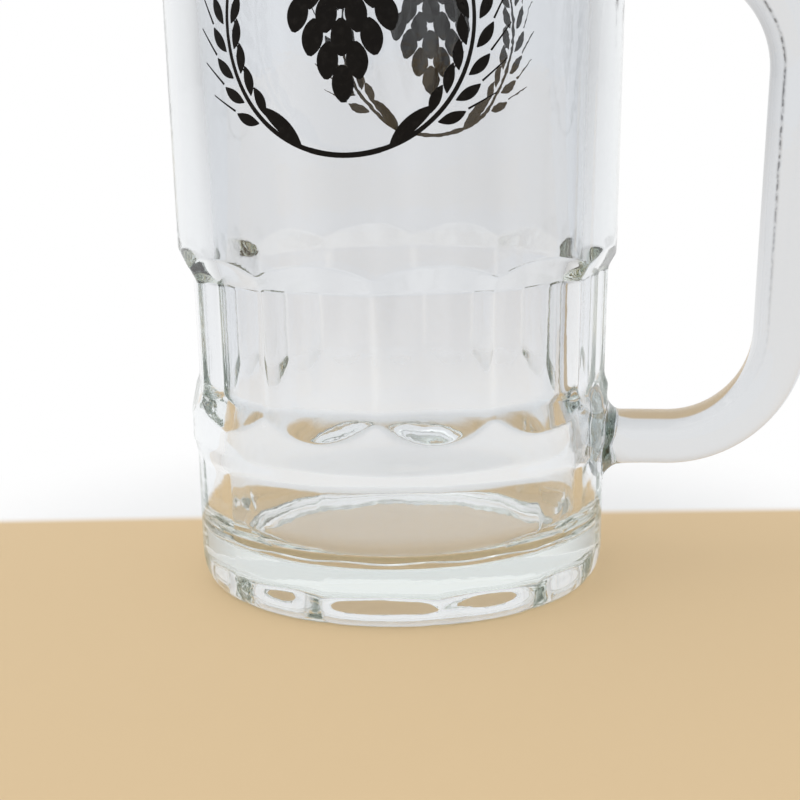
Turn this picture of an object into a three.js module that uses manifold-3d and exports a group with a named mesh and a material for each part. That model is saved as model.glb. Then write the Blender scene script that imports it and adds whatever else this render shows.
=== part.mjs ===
import * as THREE from 'three';
import { mergeVertices } from 'three/addons/utils/BufferGeometryUtils.js';
import Module from 'manifold-3d';

// A pressed glass beer mug with an applied handle, in millimetres, +Z up.
// The origin is on the bowl's axis, at the level of the table, and the handle points along +X.

// Bowl, outside
const MUG_HEIGHT = 125;
const RIM_RADIUS = 38.7;
const SHOULDER_RADIUS = 37.5;
const SHOULDER_HEIGHT = 58;
const FLARE_TOP_RADIUS = 37.3;
const FLARE_TOP_BELOW_SHOULDER = 2.8;
const FLARE_HEIGHT = 5;
const WAIST_RADIUS = 36.05;
const RING_RADIUS = 36.2;
const RING_TOP_HEIGHT = 31;
const RING_BOTTOM_HEIGHT = 25.6;
const RING_STEP_HEIGHT = 1;
const LOWER_WALL_TOP_RADIUS = 35.55;
const LOWER_WALL_BOTTOM_RADIUS = 35.3;
const HEEL_WIDTH = 2.6;
const HEEL_HEIGHT = 5.6;

// Foot: a narrow bearing ring round a recess with steep sides
const FOOT_RING_WIDTH = 4.2;
const FOOT_RECESS_DEPTH = 3.8;
const FOOT_RECESS_SLOPE_WIDTH = 0.9;

// Bowl, inside
const FLOOR_THICKNESS = 7.8;
const INSIDE_FLOOR_FILLET = 7;
const RIM_WALL = 5.4;
const LOWER_WALL = 4.3;

// Facets: flat panels pressed into the wall, each with a scooped foot and a sloping ledge under an arch
const FACET_COUNT = 12;
const FACET_LOW_DEPTH = 1.8;
const FACET_HIGH_DEPTH = 1.1;
const LEDGE_BELOW_SHOULDER = 3.7;
const LEDGE_LEAN = THREE.MathUtils.degToRad(37.2);
const SCOOP_RADIUS = 8;
const SCOOP_ABOVE_RING = 4.2;
const ARCH_LAND_HEIGHT = 2;

// Handle: one rod bent into a D, with a flared foot at each end
const HANDLE_THICKNESS = 9.4;
const HANDLE_WIDTH = 11;
const FINGER_GAP = 24.2;
const HANDLE_TOP_BELOW_RIM = 18.2;
const HANDLE_BOTTOM_BELOW_RING = 1.6;
const HANDLE_TOP_BEND = 21;
const HANDLE_BOTTOM_BEND = 19;
const HANDLE_FOOT_FLARE = 2.4;
const HANDLE_FOOT_BITE = 0.15;
const JOINT_GAP = 0.3;

// Fineness of the surfaces
const SEGMENTS_PER_FACET = 6;
const ARC_STEPS = 5;
const WALL_STEPS = 3;
const LEDGE_STEPS = 4;
const SCOOP_STEPS = 6;
const HANDLE_STEPS = 56;
const HANDLE_SIDES = 16;
const CROSSING_STEPS = 40;
const WELD_DISTANCE = 1e-4;

const BOWL_SEGMENTS = FACET_COUNT * SEGMENTS_PER_FACET;
const FACET_PITCH = (2 * Math.PI) / FACET_COUNT;

const wasm = await Module();
wasm.setup();

// Points of an elliptical arc, as radius and height, with both ends included
function arcPoints(centreRadius, centreHeight, across, up, startAngle, endAngle, steps) {
  const clockwise = endAngle < startAngle;
  const arc = new THREE.EllipseCurve(centreRadius, centreHeight, across, up, startAngle, endAngle, clockwise);
  return arc.getPoints(steps);
}

// Heights that divide a span evenly, with both ends included
function heightSteps(from, to, steps) {
  return Array.from({ length: steps + 1 }, (_, i) => THREE.MathUtils.lerp(from, to, i / steps));
}

const lipRadius = RIM_WALL / 2;
const lipHeight = MUG_HEIGHT - lipRadius;
const ringFootHeight = RING_BOTTOM_HEIGHT - RING_STEP_HEIGHT;
const flareTopHeight = SHOULDER_HEIGHT - FLARE_TOP_BELOW_SHOULDER;
const waistTopHeight = flareTopHeight - FLARE_HEIGHT;

// The plain round wall before the facets are pressed into it, from the heel to the lip
const wallStops = [
  new THREE.Vector2(LOWER_WALL_BOTTOM_RADIUS, HEEL_HEIGHT),
  new THREE.Vector2(LOWER_WALL_TOP_RADIUS, ringFootHeight),
  new THREE.Vector2(RING_RADIUS, RING_BOTTOM_HEIGHT),
  new THREE.Vector2(RING_RADIUS, RING_TOP_HEIGHT),
  new THREE.Vector2(WAIST_RADIUS, waistTopHeight),
  new THREE.Vector2(FLARE_TOP_RADIUS, flareTopHeight),
  new THREE.Vector2(SHOULDER_RADIUS, SHOULDER_HEIGHT),
  new THREE.Vector2(RIM_RADIUS, lipHeight),
];

function wallRadius(height) {
  const above = wallStops.findIndex((stop) => height < stop.y);
  const next = above < 0 ? wallStops.length - 1 : Math.max(above, 1);
  const low = wallStops[next - 1];
  const high = wallStops[next];
  return THREE.MathUtils.mapLinear(height, low.y, high.y, low.x, high.x);
}

const ledgeHeight = SHOULDER_HEIGHT - LEDGE_BELOW_SHOULDER;
const scoopHeight = RING_TOP_HEIGHT + SCOOP_ABOVE_RING;
const facetLowRadius = RING_RADIUS - FACET_LOW_DEPTH;
const facetHighRadius = WAIST_RADIUS - FACET_HIGH_DEPTH;

// Radius of a facet's surface, its ledge and its scooped foot, at an angle from the facet's middle
function facetRadius(height, fromMiddle) {
  const middle = THREE.MathUtils.mapLinear(height, RING_TOP_HEIGHT, ledgeHeight, facetLowRadius, facetHighRadius);
  const ledge = Math.max(0, height - ledgeHeight) * Math.tan(LEDGE_LEAN);
  const below = THREE.MathUtils.clamp(scoopHeight - height, 0, SCOOP_RADIUS);
  const scoop = SCOOP_RADIUS - Math.sqrt(SCOOP_RADIUS ** 2 - below ** 2);
  return middle / Math.cos(fromMiddle) + ledge + scoop;
}

// Height where a facet's surface comes out of the wall, between a height inside the facet and one past it
function crossing(inFacet, pastFacet, fromMiddle) {
  let inside = inFacet;
  let outside = pastFacet;
  for (let i = 0; i < CROSSING_STEPS; i += 1) {
    const height = (inside + outside) / 2;
    if (facetRadius(height, fromMiddle) < wallRadius(height)) {
      inside = height;
    } else {
      outside = height;
    }
  }
  return outside;
}

function archHeight(fromMiddle) {
  return crossing(ledgeHeight, lipHeight, fromMiddle);
}

function footHeight(fromMiddle) {
  return crossing(scoopHeight, scoopHeight - SCOOP_RADIUS, fromMiddle);
}

const archTopHeight = archHeight(0);
const landTopHeight = archTopHeight + ARCH_LAND_HEIGHT;
const footLowHeight = footHeight(0);

// A facet's angle from its middle; ridges fall on the handle and every pitch from it
function angleFromMiddle(angle) {
  const turns = angle / FACET_PITCH;
  return (turns - Math.floor(turns) - 0.5) * FACET_PITCH;
}

// Heights of the outer wall from the heel to the lip, close together where the facets start and end
function outerWallHeights() {
  return [
    ...heightSteps(HEEL_HEIGHT, ringFootHeight, WALL_STEPS).slice(1),
    RING_BOTTOM_HEIGHT,
    ...heightSteps(footLowHeight, scoopHeight, SCOOP_STEPS),
    ...heightSteps(scoopHeight, waistTopHeight, WALL_STEPS).slice(1),
    ...heightSteps(ledgeHeight, archTopHeight, LEDGE_STEPS),
    ...heightSteps(landTopHeight, lipHeight, WALL_STEPS).slice(0, -1),
  ];
}

// Half section of the bowl: from the axis under the foot, up the outside, over the lip, down to the floor
function bowlProfile() {
  const footEdge = LOWER_WALL_BOTTOM_RADIUS - HEEL_WIDTH;
  const footInner = footEdge - FOOT_RING_WIDTH;
  const recessEdge = footInner - FOOT_RECESS_SLOPE_WIDTH;
  const heel = arcPoints(footEdge, HEEL_HEIGHT, HEEL_WIDTH, HEEL_HEIGHT, -Math.PI / 2, 0, ARC_STEPS);
  const outside = outerWallHeights().map((height) => new THREE.Vector2(wallRadius(height), height));
  const lip = arcPoints(RIM_RADIUS - lipRadius, lipHeight, lipRadius, lipRadius, 0, Math.PI, 2 * ARC_STEPS);
  const insideLow = LOWER_WALL_BOTTOM_RADIUS - LOWER_WALL;
  const filletCentre = insideLow - INSIDE_FLOOR_FILLET;
  const filletHeight = FLOOR_THICKNESS + INSIDE_FLOOR_FILLET;
  const fillet = INSIDE_FLOOR_FILLET;
  return [
    new THREE.Vector2(0, FOOT_RECESS_DEPTH),
    new THREE.Vector2(recessEdge, FOOT_RECESS_DEPTH),
    new THREE.Vector2(footInner, 0),
    ...heel,
    ...outside,
    ...lip,
    ...arcPoints(filletCentre, filletHeight, fillet, fillet, 0, -Math.PI / 2, ARC_STEPS),
    new THREE.Vector2(0, FLOOR_THICKNESS),
  ];
}

// A half section turned round the Z axis
function revolve(profile, segments) {
  const geometry = new THREE.LatheGeometry(profile, segments);
  geometry.rotateX(Math.PI / 2);
  return geometry;
}

// Where a height of the round wall comes to lie, so that rows follow the facet's arch and its scooped foot
function pressedHeight(height, fromMiddle) {
  const { mapLinear } = THREE.MathUtils;
  const arch = archHeight(fromMiddle);
  const foot = footHeight(fromMiddle);
  if (height > archTopHeight) {
    return mapLinear(height, archTopHeight, landTopHeight, arch, landTopHeight);
  }
  if (height > ledgeHeight) {
    return mapLinear(height, ledgeHeight, archTopHeight, ledgeHeight, arch);
  }
  if (height < scoopHeight) {
    return mapLinear(height, footLowHeight, scoopHeight, foot, scoopHeight);
  }
  return height;
}

// Press the facets in: every point on the outer side of the wall moves to the facet's surface
function pressFacets(geometry) {
  const position = geometry.getAttribute('position');
  const point = new THREE.Vector3();
  for (let i = 0; i < position.count; i += 1) {
    point.fromBufferAttribute(position, i);
    const radius = Math.hypot(point.x, point.y);
    const isOutside = radius > wallRadius(point.z) - LOWER_WALL / 2;
    if (isOutside && point.z > footLowHeight - WELD_DISTANCE && point.z < archTopHeight + WELD_DISTANCE) {
      const fromMiddle = angleFromMiddle(Math.atan2(point.y, point.x));
      const height = pressedHeight(point.z, fromMiddle);
      const pressed = Math.min(wallRadius(height), facetRadius(height, fromMiddle)) / radius;
      position.setXYZ(i, point.x * pressed, point.y * pressed, height);
    }
  }
  return geometry;
}

// Closed triangle mesh with shared corners, without the triangles that collapse on the axis
function weld(geometry) {
  const plain = new THREE.BufferGeometry();
  plain.setAttribute('position', geometry.getAttribute('position').clone());
  if (geometry.index) {
    plain.setIndex(geometry.index.clone());
  }
  const merged = mergeVertices(plain, WELD_DISTANCE);
  const kept = [];
  const corners = merged.index.array;
  for (let i = 0; i < corners.length; i += 3) {
    const [a, b, c] = corners.slice(i, i + 3);
    if (a !== b && b !== c && c !== a) {
      kept.push(a, b, c);
    }
  }
  merged.setIndex(kept);
  return merged;
}

function toSolid(geometry) {
  const welded = weld(geometry);
  const vertProperties = new Float32Array(welded.getAttribute('position').array);
  const triVerts = new Uint32Array(welded.index.array);
  return new wasm.Manifold(new wasm.Mesh({ numProp: 3, vertProperties, triVerts }));
}

function toGeometry(solid) {
  const mesh = solid.getMesh();
  const geometry = new THREE.BufferGeometry();
  geometry.setAttribute('position', new THREE.BufferAttribute(mesh.vertProperties, 3));
  geometry.setIndex(new THREE.BufferAttribute(mesh.triVerts, 1));
  geometry.computeVertexNormals();
  return geometry;
}

// A path along straight runs, with a round bend of its own radius at each inner corner
function bentPath(corners, bends) {
  const path = new THREE.CurvePath();
  let start = corners[0];
  bends.forEach((bend, i) => {
    const corner = corners[i + 1];
    const before = corners[i].clone().sub(corner).normalize();
    const after = corners[i + 2].clone().sub(corner).normalize();
    const turn = Math.PI - before.angleTo(after);
    const setback = bend * Math.tan(turn / 2);
    const pull = (4 / 3) * bend * Math.tan(turn / 4);
    const bendStart = corner.clone().addScaledVector(before, setback);
    const bendEnd = corner.clone().addScaledVector(after, setback);
    const pullStart = bendStart.clone().addScaledVector(before, -pull);
    const pullEnd = bendEnd.clone().addScaledVector(after, -pull);
    path.add(new THREE.LineCurve3(start, bendStart));
    path.add(new THREE.CubicBezierCurve3(bendStart, pullStart, pullEnd, bendEnd));
    start = bendEnd;
  });
  path.add(new THREE.LineCurve3(start, corners[corners.length - 1]));
  return path;
}

const handleTopHeight = MUG_HEIGHT - HANDLE_TOP_BELOW_RIM;
const handleBottomHeight = RING_BOTTOM_HEIGHT - HANDLE_BOTTOM_BELOW_RING;

// The rod starts and ends inside the wall, where the joint is cut later
function handleRod() {
  const rodMiddle = FINGER_GAP + HANDLE_THICKNESS / 2;
  const corners = [
    new THREE.Vector3(wallRadius(handleTopHeight) - LOWER_WALL, 0, handleTopHeight),
    new THREE.Vector3(wallRadius(handleTopHeight) + rodMiddle, 0, handleTopHeight),
    new THREE.Vector3(wallRadius(handleBottomHeight) + rodMiddle, 0, handleBottomHeight),
    new THREE.Vector3(wallRadius(handleBottomHeight) - LOWER_WALL, 0, handleBottomHeight),
  ];
  const section = new THREE.Shape();
  section.absellipse(0, 0, HANDLE_THICKNESS / 2, HANDLE_WIDTH / 2, 0, 2 * Math.PI);
  return new THREE.ExtrudeGeometry(section, {
    steps: HANDLE_STEPS,
    curveSegments: HANDLE_SIDES / 2,
    extrudePath: bentPath(corners, [HANDLE_TOP_BEND, HANDLE_BOTTOM_BEND]),
  });
}

// A foot spreads from the rod to the wall in a hollow curve
function handleFoot(height) {
  const wall = wallRadius(height);
  const flare = HANDLE_FOOT_FLARE;
  const rodRadius = HANDLE_THICKNESS / 2 - HANDLE_FOOT_BITE;
  const flareCentre = rodRadius + flare;
  const profile = [
    new THREE.Vector2(0, wall - LOWER_WALL),
    new THREE.Vector2(flareCentre, wall - LOWER_WALL),
    ...arcPoints(flareCentre, wall + flare, flare, flare, -Math.PI / 2, -Math.PI, ARC_STEPS),
    new THREE.Vector2(0, wall + flare),
  ];
  const geometry = revolve(profile, HANDLE_SIDES);
  geometry.scale(1, HANDLE_WIDTH / HANDLE_THICKNESS, 1);
  geometry.rotateY(Math.PI / 2);
  geometry.translate(0, 0, height);
  return geometry;
}

// The space that the bowl takes, grown by the joint's gap
function bowlSpace() {
  const heights = [0, HEEL_HEIGHT, ...outerWallHeights(), lipHeight, MUG_HEIGHT];
  const profile = heights.map((height) => new THREE.Vector2(wallRadius(height) + JOINT_GAP, height));
  profile.unshift(new THREE.Vector2(0, 0));
  profile.push(new THREE.Vector2(0, MUG_HEIGHT));
  return revolve(profile, BOWL_SEGMENTS);
}

function makeBowl() {
  const glass = new THREE.MeshStandardMaterial({ color: 0xe3eae8, roughness: 0.04, metalness: 0 });
  glass.name = 'clear_glass';
  const bowl = new THREE.Mesh(pressFacets(revolve(bowlProfile(), BOWL_SEGMENTS)), glass);
  bowl.name = 'fluted_bowl';
  return bowl;
}

function makeHandle() {
  const glass = new THREE.MeshStandardMaterial({ color: 0xdde6e4, roughness: 0.05, metalness: 0 });
  glass.name = 'handle_glass';
  const solid = toSolid(handleRod())
    .add(toSolid(handleFoot(handleTopHeight)))
    .add(toSolid(handleFoot(handleBottomHeight)))
    .subtract(toSolid(bowlSpace()));
  const handle = new THREE.Mesh(toGeometry(solid), glass);
  handle.name = 'handle';
  return handle;
}

const mug = new THREE.Group();
mug.name = 'beer_mug';
mug.add(makeBowl(), makeHandle());

export default mug;
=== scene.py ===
import math

import bpy
import numpy as np
from mathutils import Matrix, Vector


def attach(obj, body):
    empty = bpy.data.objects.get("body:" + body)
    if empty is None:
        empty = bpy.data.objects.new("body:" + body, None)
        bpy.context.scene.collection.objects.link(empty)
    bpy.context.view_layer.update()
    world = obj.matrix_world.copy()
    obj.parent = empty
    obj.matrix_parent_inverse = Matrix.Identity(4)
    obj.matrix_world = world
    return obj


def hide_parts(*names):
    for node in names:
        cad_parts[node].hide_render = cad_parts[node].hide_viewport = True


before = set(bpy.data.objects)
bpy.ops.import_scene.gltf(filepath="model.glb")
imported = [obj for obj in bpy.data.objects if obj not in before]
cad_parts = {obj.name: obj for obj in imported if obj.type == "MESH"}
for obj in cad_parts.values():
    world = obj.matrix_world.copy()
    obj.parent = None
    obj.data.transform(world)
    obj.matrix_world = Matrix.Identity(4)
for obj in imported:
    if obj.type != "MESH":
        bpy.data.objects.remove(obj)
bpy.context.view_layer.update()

MM = 0.001

# Sizes of the mug in millimetres, as in the part's source
MUG_HEIGHT = 125.0
RIM_RADIUS = 38.7
RIM_WALL = 5.4
SHOULDER_RADIUS = 37.5
SHOULDER_HEIGHT = 58.0
FLARE_TOP_RADIUS = 37.3
FLARE_TOP = 55.2
WAIST_RADIUS = 36.05
WAIST_TOP = 50.2
RING_RADIUS = 36.2
RING_TOP = 31.0
RING_BOTTOM = 25.6
RING_STEP = 2.4
LOWER_WALL_TOP_RADIUS = 35.55
LOWER_WALL_BOTTOM_RADIUS = 35.3
LOWER_WALL = 4.3
HEEL_WIDTH = 2.6
HEEL_HEIGHT = 5.6
FOOT_RING_WIDTH = 4.2
FOOT_RECESS_DEPTH = 3.8
FOOT_RECESS_SLOPE = 1.52
FLOOR_THICKNESS = 7.8
INSIDE_FILLET = 7.0
FACETS = 12
FACET_LOW_RADIUS = 34.4
FACET_HIGH_RADIUS = 34.95
LEDGE_HEIGHT = 53.6
LEDGE_LEAN = 0.57
RAMP_TOP = 34.95
RAMP_LEAN = 0.38
LIP = RIM_WALL / 2
LIP_HEIGHT = MUG_HEIGHT - LIP

HANDLE_THICKNESS = 9.36
HANDLE_WIDTH = 11.0
FINGER_GAP = 24.2
HANDLE_TOP = 106.8
HANDLE_BOTTOM = 24.0
TOP_BEND = 21.0
BOTTOM_BEND = 19.0
FOOT_FLARE = 2.4
JOINT_GAP = 0.03
JOINT_SHARE = 0.94

# Fine forms of the pressed glass, in millimetres
WALL_BLUR = 0.5
RIDGE_BLUR = 0.5
LEDGE_BLUR = 0.35
RAMP_BLUR = 0.28
EDGE_BLUR = 0.12
GROOVE_DEPTH = 0.06
GROOVE_WIDTH = 0.8
GROOVE_END = (25.0, 22.0)
HEEL_NOTCH_DEPTH = 0.2
HEEL_NOTCH_WIDTH = 1.0
HEEL_NOTCH_END = (7.0, 3.0)
RECESS_LOBE = 1.5
RIPPLE_DEPTH = 0.07
RIPPLE_REACH = 10.0
INSIDE_RIPPLE = 0.08
INSIDE_RIPPLE_REACH = 12.0
JOINT_LUMP = 0.4
JOINT_LUMP_REACH = 9.0
SEAM_HEIGHT = 0.12
SEAM_WIDTH = 0.055
SEAM_BEARING = math.radians(127.0)
STREAK_DEPTH = 0.05

PITCH = 2.0 * math.pi / FACETS
LINE_STEP = 0.05


def smooth_min(a, b, k):
    h = np.maximum(k - np.abs(a - b), 0.0) / k
    return np.minimum(a, b) - h * h * k * 0.25


def smooth_max(a, b, k):
    return -smooth_min(-a, -b, k)


def smooth_step(low, high, x):
    t = np.clip((x - low) / (high - low), 0.0, 1.0)
    return t * t * (3.0 - 2.0 * t)


def bell(distance, width):
    return np.exp(-0.5 * (distance / width) ** 2)


def smooth_line(points, blur):
    """A function through points of height and value, its corners rounded over a few blurs of height."""
    heights = np.arange(-10.0, MUG_HEIGHT + 10.0, LINE_STEP)
    values = np.interp(heights, *zip(*points))
    reach = np.arange(-4.0 * blur, 4.0 * blur + 0.01, LINE_STEP)
    weights = bell(reach, blur)
    padded = np.pad(values, len(reach) // 2, mode="edge")
    values = np.convolve(padded, weights / weights.sum(), mode="valid")
    return lambda z: np.interp(z, heights, values)


# Radius of the round body, which the ridges between the facets follow
wall_radius = smooth_line([
    (0.0, LOWER_WALL_BOTTOM_RADIUS), (RING_BOTTOM - RING_STEP, LOWER_WALL_TOP_RADIUS),
    (RING_BOTTOM, RING_RADIUS), (RING_TOP, RING_RADIUS),
    (WAIST_TOP, WAIST_RADIUS), (FLARE_TOP, FLARE_TOP_RADIUS),
    (SHOULDER_HEIGHT, SHOULDER_RADIUS), (LIP_HEIGHT, RIM_RADIUS), (LIP_HEIGHT + 8.0, RIM_RADIUS),
], WALL_BLUR)


def from_middle(angle):
    """Angle from the middle of the nearest facet; ridges fall on the handle and every pitch from it."""
    turn = angle / PITCH
    return (turn - np.floor(turn) - 0.5) * PITCH


def ripple(angle, z):
    """Slow waves left in the outside by pressing, from 0 to 1."""
    slow = np.sin(7.0 * angle + 0.05 * z) * np.sin(0.11 * z + 2.0)
    upright = np.sin(17.0 * angle + 1.3 + 0.02 * z)
    fine = np.sin(31.0 * angle + 0.5) * np.sin(0.07 * z)
    return (3.0 + slow + upright + fine) / 6.0


def joint_lumps(angle, z):
    """Glass that was drawn about where the handle's feet were stuck on."""
    y = LOWER_WALL_TOP_RADIUS * np.sin(angle)
    lumps = np.sin(0.9 * y + 0.7) + np.sin(0.75 * z + 0.6 * y) + np.sin(1.3 * z - 0.8 * y + 2.0)
    total = 0.0
    for height in (HANDLE_BOTTOM, HANDLE_TOP):
        near = np.exp(-((y / JOINT_LUMP_REACH) ** 2 + ((z - height) / JOINT_LUMP_REACH) ** 2))
        total = total + near * np.where(np.cos(angle) > 0.0, 1.0, 0.0)
    return JOINT_LUMP * lumps * total / 3.0


def outer_radius(z, angle):
    """Outside radius with the facets pressed in and their edges melted soft."""
    theta = from_middle(angle)
    lean = (FACET_HIGH_RADIUS - FACET_LOW_RADIUS) * (z - RING_TOP) / (LEDGE_HEIGHT - RING_TOP)
    middle = FACET_LOW_RADIUS + lean
    facet = smooth_min(middle / np.cos(theta), middle / np.cos(np.abs(theta) - PITCH), RIDGE_BLUR)
    ledge = smooth_max(LEDGE_LEAN * (z - LEDGE_HEIGHT), 0.0 * z, LEDGE_BLUR)
    ramp = smooth_max(RAMP_LEAN * (RAMP_TOP - z), 0.0 * z, RAMP_BLUR)
    pressed = smooth_min(wall_radius(z), facet + ledge + ramp, EDGE_BLUR)
    across = theta * LOWER_WALL_BOTTOM_RADIUS
    pressed = pressed - GROOVE_DEPTH * smooth_step(*GROOVE_END, z) * bell(across, GROOVE_WIDTH)
    pressed = pressed - HEEL_NOTCH_DEPTH * smooth_step(*HEEL_NOTCH_END, z) * bell(across, HEEL_NOTCH_WIDTH)
    waves = RIPPLE_DEPTH * ripple(angle, z) * smooth_step(LIP_HEIGHT, LIP_HEIGHT - RIPPLE_REACH, z)
    return pressed - waves + joint_lumps(angle, z)


def new_object(name, vertices, faces, material, smooth=True):
    mesh = bpy.data.meshes.new(name)
    mesh.from_pydata([tuple(v) for v in np.asarray(vertices) * MM], [], faces)
    mesh.validate()
    if smooth:
        mesh.shade_smooth()
    mesh.materials.append(material)
    obj = bpy.data.objects.new(name, mesh)
    bpy.context.scene.collection.objects.link(obj)
    return obj


def dress(obj, node=None):
    """Fixes a piece to the mug's body and hides the solid that it stands for."""
    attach(obj, "root")
    if node:
        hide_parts(node)


def closed_faces(rows, columns):
    """Quads of a grid whose columns close round, and at each end a fan to one of the two points after it."""
    faces = []
    for i in range(rows - 1):
        a, b = i * columns, (i + 1) * columns
        for j in range(columns):
            k = (j + 1) % columns
            faces.append((a + j, a + k, b + k, b + j))
    first, last = rows * columns, rows * columns + 1
    end = (rows - 1) * columns
    for j in range(columns):
        k = (j + 1) % columns
        faces.append((first, k, j))
        faces.append((last, end + j, end + k))
    return faces


def mark(obj, name, domain, shares):
    """Stores on each face or point a share: how much of a joint it is, or how strong the painted seam shade
    or the painted highlight is there.
    """
    attribute = obj.data.attributes.new(name, "FLOAT", domain)
    attribute.data.foreach_set("value", np.asarray(shares, np.float32))


def add(tree, kind, **settings):
    node = tree.nodes.new(kind)
    for key, value in settings.items():
        setattr(node, key, value)
    return node


def math_node(tree, operation, a, b=None, c=None):
    node = add(tree, "ShaderNodeMath", operation=operation)
    for socket, value in zip(node.inputs, (a, b, c)):
        if value is None:
            continue
        if isinstance(value, (int, float)):
            socket.default_value = value
        else:
            tree.links.new(value, socket)
    return node.outputs[0]


def map_range(tree, value, low, high, to_low=0.0, to_high=1.0):
    node = add(tree, "ShaderNodeMapRange", interpolation_type="SMOOTHSTEP")
    tree.links.new(value, node.inputs["Value"])
    for name, number in zip(("From Min", "From Max", "To Min", "To Max"), (low, high, to_low, to_high)):
        node.inputs[name].default_value = number
    return node.outputs[0]


def mix_colour(tree, factor, a, b):
    node = add(tree, "ShaderNodeMix", data_type="RGBA")
    for socket, value in ((node.inputs[0], factor), (node.inputs[6], a), (node.inputs[7], b)):
        if isinstance(value, (int, float, tuple)):
            socket.default_value = value
        else:
            tree.links.new(value, socket)
    return node.outputs[2]


def noise(tree, scale, detail=3.0, upright=1.0):
    """Noise in the piece's own place, with so many waves to the metre, drawn out upwards by a low upright."""
    place = add(tree, "ShaderNodeVectorMath", operation="MULTIPLY")
    tree.links.new(add(tree, "ShaderNodeTexCoord").outputs["Object"], place.inputs[0])
    place.inputs[1].default_value = (1.0, 1.0, upright)
    node = add(tree, "ShaderNodeTexNoise")
    node.inputs["Scale"].default_value = scale
    node.inputs["Detail"].default_value = detail
    tree.links.new(place.outputs["Vector"], node.inputs["Vector"])
    return node.outputs["Fac"]


def bump(tree, shader, height, strength, distance):
    node = add(tree, "ShaderNodeBump")
    node.inputs["Strength"].default_value = strength
    node.inputs["Distance"].default_value = distance
    tree.links.new(height, node.inputs["Height"])
    tree.links.new(node.outputs["Normal"], shader.inputs["Normal"])


# Materials

def node_material(name):
    material = bpy.data.materials.new(name)
    material.use_nodes = True
    tree = material.node_tree
    tree.nodes.clear()
    output = tree.nodes.new("ShaderNodeOutputMaterial")
    shader = tree.nodes.new("ShaderNodeBsdfPrincipled")
    tree.links.new(shader.outputs[0], output.inputs["Surface"])
    return material, tree, shader, output


GLASS_IOR = 1.52
# Painted shade: a near-black base colour for the dark line along the handle's seam
SEAM_SHADE_GREY = (0.03, 0.03, 0.032, 1.0)
# Painted highlight: the whiter base colour of the ledge and the ridges
HIGHLIGHT_WHITE = (0.985, 0.99, 0.995, 1.0)
# Painted shade: heights over which the glass's base colour darkens towards the top, and soft upright streaks
# of a darker colour there
SHADE_HEIGHTS = (0.032, 0.056)
SHADE_DRIFT = 0.02
BAND_STRETCH = 0.1
BAND_CUT = (0.35, 0.65)
BAND_STRENGTH = 0.5
SEAM_CUT = (0.35, 0.6)
SEAM_LEAST = 0.35
SMEAR_CUT = (0.5, 0.8)
SMEAR_ROUGHNESS = 0.02
DIMPLE_STRENGTH = 0.05
DIMPLE_HEIGHT = 0.0002
INK = (0.004, 0.004, 0.005, 1.0)
INK_SPECULAR = 0.15
INK_BLOOM = (0.012, 0.012, 0.013, 1.0)
INK_BLOOM_CUT = (0.45, 0.8)
INK_GLOSS_CUT = (0.3, 0.7)
INK_ROUGHNESS = (0.26, 0.44)
INK_GRAIN_STRENGTH = 0.15
INK_GRAIN_HEIGHT = 0.00002

# Waves to the metre of the noise in each of them
SHADE_WAVES = 60.0
BAND_WAVES = 70.0
SEAM_WAVES = 900.0
SMEAR_WAVES = 140.0
DIMPLE_WAVES = 420.0
INK_BLOOM_WAVES = 900.0
INK_GLOSS_WAVES = 500.0
INK_GRAIN_WAVES = 5000.0


def glass_material(name, low, high, shade, tint, density):
    """Clear glass that darkens with depth; light passes a fused joint as if there were no surface. Its base
    colour holds painted shade, darker towards the top and in soft upright streaks, a painted highlight on
    marked points, and a painted dark line along a marked seam.
    """
    material, tree, shader, output = node_material(name)
    shader.inputs["Transmission Weight"].default_value = 1.0
    shader.inputs["IOR"].default_value = GLASS_IOR
    parts = add(tree, "ShaderNodeSeparateXYZ")
    tree.links.new(add(tree, "ShaderNodeTexCoord").outputs["Object"], parts.inputs[0])
    # Painted shade: the base colour darkens towards the top, and the shade colour is mixed in along soft
    # upright streaks there
    height_shade = math_node(tree, "MULTIPLY_ADD", noise(tree, SHADE_WAVES), SHADE_DRIFT, parts.outputs["Z"])
    height_shade = map_range(tree, height_shade, *SHADE_HEIGHTS)
    shade_bands = map_range(tree, noise(tree, BAND_WAVES, 2.0, BAND_STRETCH), *BAND_CUT, 0.0, BAND_STRENGTH)
    shade_bands = math_node(tree, "MULTIPLY", height_shade, shade_bands)
    surface = mix_colour(tree, shade_bands, mix_colour(tree, height_shade, low, high), shade)
    # Painted highlight: a whiter base colour on the ledge and the ridges
    painted_highlight = add(tree, "ShaderNodeAttribute", attribute_name="painted_highlight").outputs["Fac"]
    surface = mix_colour(tree, painted_highlight, surface, HIGHLIGHT_WHITE)
    # Painted shade: a ragged near-black line in the base colour along the marked seam
    seam = add(tree, "ShaderNodeAttribute", attribute_name="seam").outputs["Fac"]
    ragged = map_range(tree, noise(tree, SEAM_WAVES), *SEAM_CUT, SEAM_LEAST, 1.0)
    ragged = math_node(tree, "MULTIPLY", seam, ragged)
    tree.links.new(mix_colour(tree, ragged, surface, SEAM_SHADE_GREY), shader.inputs["Base Color"])
    smears = map_range(tree, noise(tree, SMEAR_WAVES), *SMEAR_CUT, 0.0, SMEAR_ROUGHNESS)
    tree.links.new(smears, shader.inputs["Roughness"])
    bump(tree, shader, noise(tree, DIMPLE_WAVES, 2.0), DIMPLE_STRENGTH, DIMPLE_HEIGHT)
    joint = add(tree, "ShaderNodeAttribute", attribute_name="joint").outputs["Fac"]
    tree.links.new(math_node(tree, "MULTIPLY_ADD", joint, 1.0 - GLASS_IOR, GLASS_IOR), shader.inputs["IOR"])
    volume = tree.nodes.new("ShaderNodeVolumeAbsorption")
    volume.inputs["Color"].default_value = tint
    volume.inputs["Density"].default_value = density
    tree.links.new(volume.outputs[0], output.inputs["Volume"])
    return material


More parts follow.
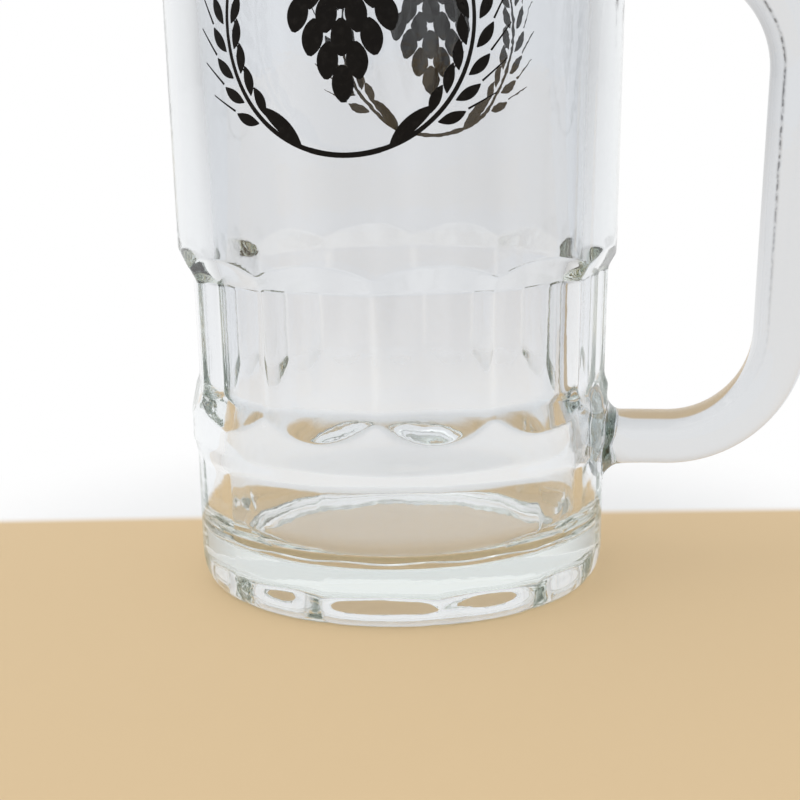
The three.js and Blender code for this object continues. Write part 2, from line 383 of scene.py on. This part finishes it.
def enamel_material(name):
    """Fired black screen ink: slightly uneven gloss, fine grain and a greyer bloom in places."""
    material, tree, shader, _ = node_material(name)
    shader.inputs["Specular IOR Level"].default_value = INK_SPECULAR
    bloom = map_range(tree, noise(tree, INK_BLOOM_WAVES), *INK_BLOOM_CUT)
    tree.links.new(mix_colour(tree, bloom, INK, INK_BLOOM), shader.inputs["Base Color"])
    gloss = map_range(tree, noise(tree, INK_GLOSS_WAVES), *INK_GLOSS_CUT, *INK_ROUGHNESS)
    tree.links.new(gloss, shader.inputs["Roughness"])
    bump(tree, shader, noise(tree, INK_GRAIN_WAVES, 2.0), INK_GRAIN_STRENGTH, INK_GRAIN_HEIGHT)
    return material


# Painted shade: greyed base colours that are darker towards the top, with a darker shade colour in streaks
clear_glass = glass_material(
    "clear_glass_look", low=(0.93, 0.943, 0.96, 1.0), high=(0.885, 0.897, 0.92, 1.0),
    shade=(0.76, 0.775, 0.80, 1.0), tint=(0.74, 0.85, 0.79, 1.0), density=6.0)
# Painted shade: the handle is the same glass as the bowl, given darker base colours
handle_glass = glass_material(
    "handle_glass_look", low=(0.77, 0.778, 0.795, 1.0), high=(0.755, 0.765, 0.79, 1.0),
    shade=(0.70, 0.71, 0.73, 1.0), tint=(0.72, 0.83, 0.78, 1.0), density=7.0)
black_enamel = enamel_material("black_enamel_look")


# Bowl

FOOT_EDGE = LOWER_WALL_BOTTOM_RADIUS - HEEL_WIDTH
FOOT_INNER = FOOT_EDGE - FOOT_RING_WIDTH - 0.5 * RECESS_LOBE
RECESS_EDGE = FOOT_INNER - FOOT_RECESS_SLOPE
INSIDE_LOW = LOWER_WALL_BOTTOM_RADIUS - LOWER_WALL
COLUMNS_PER_FACET = 24
COLUMN_CROWDING = 0.6
# Painted highlight: width, slopes and heights of the whiter base colour on the ledge and the ridges
HIGHLIGHT_WIDTH = 0.5
HIGHLIGHT_SLOPES = (0.2, 0.5)
HIGHLIGHT_LEDGE = (46.0, 49.0)
HIGHLIGHT_RIDGE_FOOT = (33.0, 38.0)
HIGHLIGHT_RIDGE_TOP = (55.0, 52.0)
HUB_RADIUS = 2.0
LOBE_START = 0.7
RECESS_ROWS = 8
RECESS_SLOPE_ROWS = 14
FOOT_ROWS = 5
HEEL_ROWS = 18
INSIDE_WALL_ROWS = 20
INSIDE_FLOOR_ROWS = 6
ARC_STEPS = 16

# Heights between which the outside has so many rows, close together at the facets' feet and at the ledge
WALL_ROWS = (
    (HEEL_HEIGHT, 21.0, 12), (21.0, 28.8, 20), (28.8, 37.0, 54),
    (37.0, 48.0, 8), (48.0, 59.5, 44), (59.5, LIP_HEIGHT, 22),
)


def arc(centre_radius, centre_height, radius, start, end):
    angles = np.radians(np.linspace(start, end, ARC_STEPS + 1))
    return [(centre_radius + radius * math.cos(a), centre_height + radius * math.sin(a)) for a in angles]


def bowl_columns():
    """Angles round the bowl, closer together at the ridges and at the facets' middles."""
    share = np.arange(FACETS * COLUMNS_PER_FACET) / COLUMNS_PER_FACET
    crowded = share - COLUMN_CROWDING / (4.0 * math.pi) * np.sin(4.0 * math.pi * share)
    return crowded * PITCH


def underside_rows(angles):
    """Rows from the axis under the foot to its outer edge; the recess has a lobe under each facet."""
    lobe = RECESS_LOBE * (0.5 + 0.5 * np.cos(from_middle(angles) * FACETS))
    edge = outer_radius(0.0 * angles, angles) - HEEL_WIDTH
    inner = FOOT_INNER + lobe
    rows = []
    for r in np.linspace(HUB_RADIUS, RECESS_EDGE, RECESS_ROWS)[:-1]:
        drawn = lobe * smooth_step(LOBE_START, 1.0, r / RECESS_EDGE)
        rows.append((r + drawn, 0.0 * angles + FOOT_RECESS_DEPTH))
    for t in np.linspace(0.0, 1.0, RECESS_SLOPE_ROWS):
        depth = FOOT_RECESS_DEPTH * (1.0 - smooth_step(0.0, 1.0, t))
        rows.append((RECESS_EDGE + lobe + FOOT_RECESS_SLOPE * t, 0.0 * angles + depth))
    for t in np.linspace(0.0, 1.0, FOOT_ROWS)[1:]:
        rows.append((inner + (edge - inner) * t, 0.0 * angles))
    return rows


def outside_rows(angles):
    heel_heights = HEEL_HEIGHT * (1.0 - np.cos(np.linspace(0.0, math.pi / 2, HEEL_ROWS)))
    wall_heights = [np.linspace(*zone)[1:] for zone in WALL_ROWS]
    heights = np.concatenate([heel_heights[1:]] + wall_heights)[:-1]
    rows = []
    for z in heights:
        rise = max(0.0, 1.0 - z / HEEL_HEIGHT)
        heel = HEEL_WIDTH * (1.0 - math.sqrt(max(0.0, 1.0 - rise ** 2)))
        level = 0.0 * angles + z
        rows.append((outer_radius(level, angles) - heel, level))
    return rows


def inside_rows(angles):
    """Rows over the lip, down the inner wall and round the floor's fillet to the axis."""
    centre = INSIDE_LOW - INSIDE_FILLET
    turn = FLOOR_THICKNESS + INSIDE_FILLET
    profile = arc(RIM_RADIUS - LIP, LIP_HEIGHT, LIP, 0, 180)
    for z in np.linspace(LIP_HEIGHT, turn, INSIDE_WALL_ROWS)[1:-1]:
        share = (z - turn) / (LIP_HEIGHT - turn)
        profile.append((INSIDE_LOW + (RIM_RADIUS - RIM_WALL - INSIDE_LOW) * share, z))
    profile += arc(centre, turn, INSIDE_FILLET, 0, -90)
    profile += [(r, FLOOR_THICKNESS) for r in np.linspace(centre, HUB_RADIUS, INSIDE_FLOOR_ROWS)[1:]]
    wave = 0.5 + 0.2 * np.sin(5.0 * angles + 1.0) + 0.3 * np.sin(13.0 * angles + 2.0)
    rows = []
    for r, z in profile:
        free = smooth_step(turn, turn + INSIDE_RIPPLE_REACH, z)
        free = free * smooth_step(LIP_HEIGHT, LIP_HEIGHT - INSIDE_RIPPLE_REACH, z)
        rows.append((r + INSIDE_RIPPLE * wave * free, 0.0 * angles + z))
    return rows


def foot_outline(psi):
    """How far the molten foot ran out at a bearing round the rod, as a share of an even foot."""
    run = 0.07 * np.sin(2.0 * psi + 0.8) + 0.06 * np.sin(3.0 * psi + 2.1) + 0.04 * np.sin(5.0 * psi + 0.4)
    return 1.0 + run


def in_joint(points):
    """1 for points of the bowl's outside that lie well inside one of the handle's feet."""
    inside = np.zeros(len(points))
    for height, sign in ((HANDLE_TOP, 1.0), (HANDLE_BOTTOM, -1.0)):
        across = points[:, 1] / (HANDLE_WIDTH / 2 + FOOT_FLARE)
        up = sign * (points[:, 2] - height) / (HANDLE_THICKNESS / 2 + FOOT_FLARE)
        reach = np.hypot(across, up) / foot_outline(np.arctan2(across, up))
        inside[(reach < JOINT_SHARE) & (points[:, 0] > 0.0)] = 1.0
    return inside


def highlight_shares(rows, angles):
    """How strong the painted highlight is at each point: the ledge over the facets and the ridges between
    them.
    """
    radius = np.array([r for r, _ in rows])
    heights = np.array([z[0] for _, z in rows])
    steep = smooth_step(*HIGHLIGHT_SLOPES, np.gradient(radius, heights, axis=0))
    ledge = steep * smooth_step(*HIGHLIGHT_LEDGE, heights)[:, None]
    off_ridge = (0.5 * PITCH - np.abs(from_middle(angles))) * WAIST_RADIUS
    upright = smooth_step(*HIGHLIGHT_RIDGE_FOOT, heights) * smooth_step(*HIGHLIGHT_RIDGE_TOP, heights)
    ridge = bell(off_ridge, HIGHLIGHT_WIDTH)[None] * upright[:, None]
    return np.maximum(ledge, ridge)


def bowl_mesh():
    angles = bowl_columns()
    columns = len(angles)
    under, outside = underside_rows(angles), outside_rows(angles)
    rings = under + outside + inside_rows(angles)
    vertices = [np.stack([r * np.cos(angles), r * np.sin(angles), z], 1) for r, z in rings]
    vertices = np.concatenate(vertices + [[[0, 0, FOOT_RECESS_DEPTH], [0, 0, FLOOR_THICKNESS]]])
    faces = closed_faces(len(rings), columns)
    joint = np.zeros(len(faces))
    first, past = len(under) * columns, (len(under) + len(outside)) * columns
    joint[first:past] = in_joint(vertices[np.array(faces[first:past])].mean(1))
    painted_highlight = np.zeros(len(vertices))
    painted_highlight[first:past] = highlight_shares(outside, angles).ravel()
    return vertices, faces, joint, painted_highlight


bowl_vertices, bowl_faces, bowl_joint, bowl_highlight = bowl_mesh()
bowl = new_object("bowl_glass", bowl_vertices, bowl_faces, clear_glass)
mark(bowl, "joint", "FACE", bowl_joint)
mark(bowl, "painted_highlight", "POINT", bowl_highlight)
dress(bowl, "fluted_bowl")


# Handle

ROD_ROW_STEP = 1.2
ROD_SIDES = 64
BEND_STEPS = 36
FLARE_STEPS = 14
FLARE_END = 5.0
FLARE_BLEND = (3.2, 4.0, FLARE_END)
ROD_START = 0.4
HALF_THICKNESS = HANDLE_THICKNESS / 2
HALF_WIDTH = HANDLE_WIDTH / 2
WALL_GUESS = 36.0
WALL_TRIES = 8
CAP_SHARES = (0.86, 0.68, 0.46, 0.22)
SEAMS = (SEAM_BEARING, 2.0 * math.pi - SEAM_BEARING)
SEAM_START = (12.0, 20.0)
SEAM_SPAN = 2.5
SEAM_CLEAR = 3.0
SEAM_POINTS = 11
# Painted shade: heights over which the dark line along the seam comes in
SEAM_SHADE_HEIGHTS = (30.0, 75.0)


def straight(start, end, last=False):
    """Points along a straight run of the rod."""
    count = max(4, int(np.linalg.norm(end - start) / ROD_ROW_STEP))
    return start + (end - start) * np.linspace(0, 1, count + last, endpoint=last)[:, None]


def handle_path():
    """Middle line of the rod, in the XZ plane, from the upper foot to the lower one."""
    top_wall = float(wall_radius(HANDLE_TOP))
    bottom_wall = float(wall_radius(HANDLE_BOTTOM))
    reach = FINGER_GAP + HALF_THICKNESS
    corners = np.array([[top_wall, HANDLE_TOP], [top_wall + reach, HANDLE_TOP],
                        [bottom_wall + reach, HANDLE_BOTTOM], [bottom_wall, HANDLE_BOTTOM]])
    pieces = []
    start = corners[0]
    for i, bend in ((1, TOP_BEND), (2, BOTTOM_BEND)):
        before = corners[i - 1] - corners[i]
        after = corners[i + 1] - corners[i]
        before = before / np.linalg.norm(before)
        after = after / np.linalg.norm(after)
        turn = math.pi - math.acos(float(before @ after))
        setback = bend * math.tan(turn / 2)
        bend_start = corners[i] + before * setback
        bend_end = corners[i] + after * setback
        centre = corners[i] + (before + after) / np.linalg.norm(before + after) * bend / math.cos(turn / 2)
        pieces.append(straight(start, bend_start))
        spoke = bend_start - centre
        for a in np.linspace(0, turn, BEND_STEPS, endpoint=False):
            c, s = math.cos(-a), math.sin(-a)
            pieces.append(centre + np.array([[spoke[0] * c - spoke[1] * s, spoke[0] * s + spoke[1] * c]]))
        start = bend_end
    pieces.append(straight(start, corners[3], True))
    return np.concatenate(pieces)


def wall_x(y, z):
    """How far out along X the bowl's outside is, at Y and Z."""
    x = np.full_like(y, WALL_GUESS)
    for _ in range(WALL_TRIES):
        x = np.sqrt((outer_radius(z, np.arctan2(y, x)) + JOINT_GAP) ** 2 - y * y)
    return x


def section_bearings():
    """Bearings round the rod's section, closer together at the two mould seams."""
    even = np.arange(ROD_SIDES) * 2.0 * math.pi / ROD_SIDES
    fine = np.linspace(-SEAM_SPAN, SEAM_SPAN, SEAM_POINTS) * SEAM_WIDTH
    clear = [b for b in even if min(abs(b - s) for s in SEAMS) > SEAM_CLEAR * SEAM_WIDTH]
    return np.sort(np.concatenate([clear] + [s + fine for s in SEAMS]))


def seam_height(psi, along):
    """The ragged mould seam, as height over the rod's round section."""
    ragged = 0.55 + 0.25 * math.sin(0.9 * along) + 0.2 * math.sin(2.3 * along + 1.0) * math.sin(0.31 * along)
    return SEAM_HEIGHT * ragged * sum(bell(psi - s, SEAM_WIDTH) for s in SEAMS)


def streaks(psi, along):
    """Fine draw lines along the rod, from 0 to 1."""
    lines = np.sin(9.0 * psi + 0.03 * along) + np.sin(16.0 * psi + 1.0 + 0.8 * math.sin(0.05 * along))
    return 0.5 + 0.15 * lines + 0.2 * math.sin(0.11 * along) * np.sin(5.0 * psi + 2.0)


def foot_rows(psi, height, sign):
    """Rows of a flared foot from the wall out, rows of its cap from the edge in, and the cap's middle."""
    curved = FOOT_FLARE * (1 - np.cos(np.linspace(0, math.pi / 2, FLARE_STEPS)))
    flare = []
    for d in np.concatenate([curved, FLARE_BLEND]):
        left = max(FOOT_FLARE - d, 0.0)
        spread = FOOT_FLARE - math.sqrt(max(FOOT_FLARE ** 2 - left ** 2, 0.0))
        w = smooth_step(0.0, FLARE_END, d)
        run = 1.0 + (foot_outline(psi) - 1.0) * (1.0 - w)
        y = (HALF_WIDTH + spread) * np.sin(psi) * run
        z = height + sign * (HALF_THICKNESS + spread) * np.cos(psi) * run
        x = wall_x(y, z) * (1 - w) + float(wall_radius(height)) * w + d
        flare.append(np.stack([x, y, z], 1))
    y0, z0 = flare[0][:, 1], flare[0][:, 2]
    cap = []
    for f in CAP_SHARES:
        y, z = y0 * f, height + (z0 - height) * f
        cap.append(np.stack([wall_x(y, z), y, z], 1))
    middle = np.array([wall_x(np.zeros(1), np.full(1, height))[0], 0.0, height])
    return flare, cap, middle


def rod_rows(psi):
    """Rows of the bent rod between its flared feet, and how strong the painted shade along the seam is in
    each.
    """
    path = handle_path()
    tangent = np.gradient(path, axis=0)
    tangent /= np.linalg.norm(tangent, axis=1)[:, None]
    normal = np.stack([-tangent[:, 1], tangent[:, 0]], 1)
    along = np.concatenate([[0.0], np.cumsum(np.linalg.norm(np.diff(path, axis=0), axis=1))])
    rows = []
    seam_shade = []
    for (x, z), n, s in zip(path, normal, along):
        foot = HANDLE_TOP if z > SHOULDER_HEIGHT else HANDLE_BOTTOM
        if x < float(wall_radius(foot)) + FLARE_END + ROD_START:
            continue
        seam = seam_height(psi, s) * smooth_step(*SEAM_START, s) * smooth_step(*SEAM_START, along[-1] - s)
        skin = seam - STREAK_DEPTH * streaks(psi, s)
        out = (HALF_THICKNESS + skin) * np.cos(psi)
        rows.append(np.stack([x + n[0] * out, (HALF_WIDTH + skin) * np.sin(psi), z + n[1] * out], 1))
        # Painted shade: a dark line along one seam, stronger higher up
        seam_shade.append(bell(psi - SEAMS[1], 0.8 * SEAM_WIDTH) * smooth_step(*SEAM_SHADE_HEIGHTS, z))
    return rows, seam_shade


def handle_mesh():
    psi = section_bearings()
    sides = len(psi)
    top_flare, top_cap, top_middle = foot_rows(psi, HANDLE_TOP, 1.0)
    bottom_flare, bottom_cap, bottom_middle = foot_rows(psi, HANDLE_BOTTOM, -1.0)
    rod, seam_shade = rod_rows(psi)
    rows = top_cap[::-1] + top_flare + rod + bottom_flare[::-1] + bottom_cap
    vertices = np.concatenate(rows + [top_middle[None], bottom_middle[None]])
    faces = closed_faces(len(rows), sides)
    caps = len(CAP_SHARES)
    joint = np.zeros(len(faces))
    joint[:caps * sides] = 1.0
    joint[(len(rows) - 1 - caps) * sides:] = 1.0
    # Painted shade along the seam, which the glass's base colour turns into a dark line
    seam = np.zeros(len(vertices))
    start = (caps + len(top_flare)) * sides
    seam[start:start + len(seam_shade) * sides] = np.concatenate(seam_shade)
    return vertices, faces, joint, seam


handle_vertices, handle_faces, handle_joint, handle_seam_shade = handle_mesh()
handle = new_object("handle_rod", handle_vertices, handle_faces, handle_glass)
mark(handle, "joint", "FACE", handle_joint)
mark(handle, "seam", "POINT", handle_seam_shade)
dress(handle, "handle")


def outward(obj):
    """Turns the faces outward if the mesh is inside out."""
    mesh = obj.data
    mesh.calc_loop_triangles()
    points = np.empty(len(mesh.vertices) * 3)
    mesh.vertices.foreach_get("co", points)
    corners = np.empty(len(mesh.loop_triangles) * 3, np.int32)
    mesh.loop_triangles.foreach_get("vertices", corners)
    p = points.reshape(-1, 3)[corners].reshape(-1, 3, 3)
    volume = np.einsum("ij,ij->i", p[:, 0], np.cross(p[:, 1], p[:, 2])).sum()
    if volume < 0:
        mesh.flip_normals()


outward(bowl)
outward(handle)


# Print: two crossed barley ears round a hop cone, as a film of enamel on the smooth wall

PRINT_PROUD = 0.04
PRINT_SINK = 0.02
PRINT_BEARING = math.radians(-95.5)
WREATH_CENTRE = 94.0
WREATH_RADIUS = 19.5
HOP_TOP = 104.0
HOP_ROWS = (2, 3, 4, 3, 2, 1)
HOP_ROW_STEP = 3.3
HOP_PETAL_STEP = 3.9
PETAL_SIZE = (5.4, 3.3)
GRAIN_SIZE = (4.5, 1.7)
GRAIN_LEAN = math.radians(34.0)
GRAIN_OFFSET = 0.9
BLADE_POINTS = 13
EAR_STEM = (-16.0, 122.0)
EAR_STEM_POINTS = 56
EAR_STEM_WIDTHS = (0.42, 0.25)
EAR_GRAINS = (42.0, 124.0, 11.6)
EAR_TIP = 124.0
EAR_TIP_SIZE = (5.8, 2.2)
EAR_LEAF = 20.0
EAR_LEAF_SIZE = (9.0, 2.2)
AWN_START = 5.6
AWN_LENGTH = 5.2
AWN_POINTS = 8
AWN_WIDTHS = (0.16, 0.08)
STALK_LENGTH = 5.4
STALK_POINTS = 9
STALK_WIDTH = 0.45
HOP_LEAF_SIZE = (7.4, 3.4)
LEAF_BLUNT = 0.7
ACROSS = np.array([-1.0, 0.0, 1.0])


class Film:
    """Strips of enamel on the bowl's wall, drawn in millimetres across and up from the print's middle."""

    def __init__(self, bearing):
        self.bearing = bearing
        self.vertices = []
        self.faces = []

    def wrap(self, across, up, lift):
        angle = self.bearing + across / wall_radius(up)
        radius = outer_radius(up, angle) + lift
        return np.stack([radius * np.cos(angle), radius * np.sin(angle), up], -1)

    def strip(self, line, half_widths):
        """A closed strip along a line, with its own half width at each point."""
        line = np.asarray(line, float)
        tangent = np.gradient(line, axis=0)
        tangent /= np.linalg.norm(tangent, axis=1)[:, None]
        side = np.stack([tangent[:, 1], -tangent[:, 0]], 1)
        offset = np.asarray(half_widths)[:, None] * ACROSS[None]
        across = line[:, :1] + side[:, :1] * offset
        up = line[:, 1:] + side[:, 1:] * offset
        rows, columns = across.shape
        start = sum(len(v) for v in self.vertices)
        for lift in (PRINT_PROUD, -PRINT_SINK):
            self.vertices.append(self.wrap(across, up, lift).reshape(-1, 3))
        low = rows * columns

        def at(i, j):
            return start + i * columns + j

        for i in range(rows - 1):
            for j in range(columns - 1):
                quad = (at(i, j), at(i, j + 1), at(i + 1, j + 1), at(i + 1, j))
                self.faces.append(quad)
                self.faces.append(tuple(v + low for v in reversed(quad)))
        rim = [at(i, 0) for i in range(rows)] + [at(rows - 1, j) for j in range(1, columns)]
        rim += [at(i, columns - 1) for i in range(rows - 2, -1, -1)]
        rim += [at(0, j) for j in range(columns - 2, 0, -1)]
        for a, b in zip(rim, rim[1:] + rim[:1]):
            self.faces.append((a, b, b + low, a + low))

    def blade(self, start, direction, length, width, curl=0.0, blunt=0.8):
        """A pointed grain, leaf or petal; curl bends it, and a low blunt makes it fuller at its ends."""
        t = np.linspace(0.0, 1.0, BLADE_POINTS)
        bearing = direction + curl * t
        step = length / (len(t) - 1)
        line = np.stack([np.cumsum(np.cos(bearing)), np.cumsum(np.sin(bearing))], 1) * step
        line = np.asarray(start) + line - line[0]
        self.strip(line, 0.5 * width * np.sin(math.pi * np.clip(t, 0.015, 0.985)) ** blunt)


def wreath_point(turn, mirror):
    return np.array([mirror * WREATH_RADIUS * math.sin(turn), WREATH_CENTRE - WREATH_RADIUS * math.cos(turn)])


def heading(bearing):
    return np.array([math.cos(bearing), math.sin(bearing)])


def draw_ear(film, mirror):
    """One barley ear that rises from the crossing at the bottom round one side of the wreath."""

    def ahead(turn):
        return turn if mirror > 0 else math.pi - turn

    stem = [wreath_point(t, mirror) for t in np.radians(np.linspace(*EAR_STEM, EAR_STEM_POINTS))]
    film.strip(stem, np.linspace(*EAR_STEM_WIDTHS, EAR_STEM_POINTS))
    for turn in np.radians(np.arange(*EAR_GRAINS)):
        root = wreath_point(turn, mirror)
        for side in (-1.0, 1.0):
            lean = side * GRAIN_LEAN
            foot = root + GRAIN_OFFSET * heading(ahead(turn) + 2.0 * lean)
            film.blade(foot, ahead(turn) + lean, *GRAIN_SIZE, -0.6 * lean)
            tip = root + AWN_START * heading(ahead(turn) + 0.8 * lean)
            steps = np.linspace(0.0, AWN_LENGTH, AWN_POINTS)
            awn = [tip + s * heading(ahead(turn) + 0.45 * lean) for s in steps]
            film.strip(awn, np.linspace(*AWN_WIDTHS, AWN_POINTS))
    top, leaf = math.radians(EAR_TIP), math.radians(EAR_LEAF)
    film.blade(wreath_point(top, mirror), ahead(top), *EAR_TIP_SIZE)
    leaf_ahead = ahead(leaf) + mirror * 0.55
    film.blade(wreath_point(leaf, mirror), leaf_ahead, *EAR_LEAF_SIZE, -mirror * 0.35, LEAF_BLUNT)


def draw_hop(film):
    """A hop cone in staggered rows of petals, with a stalk and two leaves on top."""
    for row, count in enumerate(HOP_ROWS):
        for i in range(count):
            across = (i - (count - 1) / 2) * HOP_PETAL_STEP
            up = HOP_TOP - HOP_ROW_STEP * row
            film.blade((across, up), 0.05 * across - math.pi / 2, *PETAL_SIZE, 0.0, 0.55)
    stalk = np.linspace(0.0, STALK_LENGTH, STALK_POINTS)
    line = np.stack([0.5 * np.sin(0.5 * stalk), HOP_TOP - 0.6 + stalk], 1)
    film.strip(line, np.full(STALK_POINTS, STALK_WIDTH))
    for mirror in (-1.0, 1.0):
        leaf_ahead = math.pi / 2 - mirror * 1.15
        film.blade((mirror, HOP_TOP + 1.4), leaf_ahead, *HOP_LEAF_SIZE, mirror * 0.5, LEAF_BLUNT)


def make_print(name, bearing):
    film = Film(bearing)
    for mirror in (1.0, -1.0):
        draw_ear(film, mirror)
    draw_hop(film)
    obj = new_object(name, np.concatenate(film.vertices), film.faces, black_enamel, smooth=False)
    outward(obj)
    dress(obj)


make_print("print_front", PRINT_BEARING)
make_print("print_back", PRINT_BEARING + math.pi)


# Studio

VIEW_AHEAD = (-0.1063, 0.9943, 0.0)
VIEW_FROM = (0.0286, -0.2673, 0.0)
STUDIO_LIGHT = (0.90, 0.905, 0.91, 1.0)
BACKDROP_SIDE = 0.66
BACKDROP_TOP = 0.92
BACKDROP_SPAN = (0.45, 0.94)
OVERHEAD_SPAN = (0.3, 0.9)
FLOOR_NEAR = (0.76, 0.57, 0.34, 1.0)
FLOOR_FAR = (0.95, 0.95, 0.95, 1.0)
FLOOR_CHANGE = (0.029, 0.035)
FLOOR_FADE = (0.05, 0.11)
FLOOR_HALF = 3000.0
FLOOR_DROP = 0.02


def along_view(tree, vector):
    node = add(tree, "ShaderNodeVectorMath", operation="DOT_PRODUCT")
    tree.links.new(vector, node.inputs[0])
    node.inputs[1].default_value = VIEW_AHEAD
    return node.outputs["Value"]


def sees_backdrop(tree):
    """1 for what the camera sees directly, in a reflection or through glass."""
    path = add(tree, "ShaderNodeLightPath")
    seen = math_node(tree, "MAXIMUM", path.outputs["Is Camera Ray"], path.outputs["Is Glossy Ray"])
    return math_node(tree, "MAXIMUM", seen, path.outputs["Is Transmission Ray"])


def backdrop_colour(tree, direction):
    """White ahead of the camera, falling off softly to the sides and behind it, and pale overhead."""
    parts = add(tree, "ShaderNodeSeparateXYZ")
    tree.links.new(direction, parts.inputs[0])
    level = map_range(tree, along_view(tree, direction), *BACKDROP_SPAN, BACKDROP_SIDE, 1.0)
    overhead = map_range(tree, parts.outputs["Z"], *OVERHEAD_SPAN)
    rest = math_node(tree, "SUBTRACT", BACKDROP_TOP, level)
    level = math_node(tree, "MULTIPLY_ADD", overhead, rest, level)
    grey = add(tree, "ShaderNodeCombineColor")
    for socket in grey.inputs:
        tree.links.new(level, socket)
    return grey.outputs[0]


def floor_material():
    """Tan in front and white behind, where it passes into the backdrop away from the mug's shadow."""
    material, tree, shader, output = node_material("floor_look")
    place = add(tree, "ShaderNodeNewGeometry").outputs["Position"]
    behind = map_range(tree, along_view(tree, place), *FLOOR_CHANGE)
    colour = mix_colour(tree, behind, FLOOR_NEAR, FLOOR_FAR)
    tree.links.new(colour, shader.inputs["Base Color"])
    shader.inputs["Roughness"].default_value = 0.7
    shader.inputs["Specular IOR Level"].default_value = 0.1
    white = add(tree, "ShaderNodeEmission")
    apart = add(tree, "ShaderNodeVectorMath", operation="SUBTRACT")
    tree.links.new(place, apart.inputs[0])
    apart.inputs[1].default_value = VIEW_FROM
    direction = add(tree, "ShaderNodeVectorMath", operation="NORMALIZE")
    tree.links.new(apart.outputs["Vector"], direction.inputs[0])
    tree.links.new(backdrop_colour(tree, direction.outputs["Vector"]), white.inputs["Color"])
    far = add(tree, "ShaderNodeVectorMath", operation="LENGTH")
    tree.links.new(place, far.inputs[0])
    fade = math_node(tree, "MULTIPLY", map_range(tree, far.outputs["Value"], *FLOOR_FADE), behind)
    mixed = add(tree, "ShaderNodeMixShader")
    tree.links.new(math_node(tree, "MULTIPLY", fade, sees_backdrop(tree)), mixed.inputs[0])
    tree.links.new(shader.outputs[0], mixed.inputs[1])
    tree.links.new(white.outputs[0], mixed.inputs[2])
    tree.links.new(mixed.outputs[0], output.inputs["Surface"])
    return material


floor_corners = FLOOR_HALF * np.array([[-1, -1, 0], [1, -1, 0], [1, 1, 0], [-1, 1, 0]])
floor = new_object("floor", floor_corners, [(0, 1, 2, 3)], floor_material(), smooth=False)
floor.location.z = -FLOOR_DROP * MM


def make_world():
    world = bpy.data.worlds.new("studio")
    bpy.context.scene.world = world
    world.use_nodes = True
    tree = world.node_tree
    tree.nodes.clear()
    output = tree.nodes.new("ShaderNodeOutputWorld")
    background = tree.nodes.new("ShaderNodeBackground")
    direction = add(tree, "ShaderNodeTexCoord").outputs["Generated"]
    colour = mix_colour(tree, sees_backdrop(tree), STUDIO_LIGHT, backdrop_colour(tree, direction))
    tree.links.new(colour, background.inputs["Color"])
    background.inputs["Strength"].default_value = 1.0
    tree.links.new(background.outputs[0], output.inputs["Surface"])


make_world()


def soft_lamp(name, place, aim, size, power):
    data = bpy.data.lights.new(name, "AREA")
    data.shape = "RECTANGLE"
    data.size, data.size_y = size
    data.energy = power
    lamp = bpy.data.objects.new(name, data)
    bpy.context.scene.collection.objects.link(lamp)
    lamp.location = place
    lamp.rotation_euler = (Vector(aim) - Vector(place)).to_track_quat("-Z", "Y").to_euler()


soft_lamp("top_softbox", place=(-0.25, -0.1, 0.75), aim=(0.0, 0.0, 0.05), size=(0.7, 0.5), power=0.6)


# Camera: millimetres from the mug's axis and the floor, bearing in degrees, roll in radians
CAMERA_DISTANCE = 268.78
CAMERA_HEIGHT = 85.82
CAMERA_BEARING = -83.9
CAMERA_AIM_HEIGHT = 30.03
CAMERA_ROLL = 0.01503
CAMERA_LENS = 70.32

camera_data = bpy.data.cameras.new("camera")
camera_data.lens = CAMERA_LENS
camera_data.sensor_width = 36.0
camera_data.clip_start = 0.01
camera = bpy.data.objects.new("camera", camera_data)
bpy.context.scene.collection.objects.link(camera)
bearing = math.radians(CAMERA_BEARING)
place = Vector((CAMERA_DISTANCE * math.cos(bearing), CAMERA_DISTANCE * math.sin(bearing), CAMERA_HEIGHT)) * MM
aim = Vector((0.0, 0.0, CAMERA_AIM_HEIGHT)) * MM
ahead = (aim - place).normalized()
right = ahead.cross(Vector((0.0, 0.0, 1.0))).normalized()
up = right.cross(ahead)
rolled_up = up * math.cos(CAMERA_ROLL) + right * math.sin(CAMERA_ROLL)
rolled_right = right * math.cos(CAMERA_ROLL) - up * math.sin(CAMERA_ROLL)
camera.matrix_world = Matrix((
    (rolled_right.x, rolled_up.x, -ahead.x, place.x),
    (rolled_right.y, rolled_up.y, -ahead.y, place.y),
    (rolled_right.z, rolled_up.z, -ahead.z, place.z),
    (0.0, 0.0, 0.0, 1.0),
))
bpy.context.scene.camera = camera
bpy.context.scene.view_settings.view_transform = "Standard"

# Light that is led along inside the glass is reflected many times before it leaves it
bpy.context.scene.cycles.max_bounces = 48
bpy.context.scene.cycles.glossy_bounces = 40
bpy.context.scene.cycles.transmission_bounces = 48
bpy.context.scene.cycles.blur_glossy = 0.0
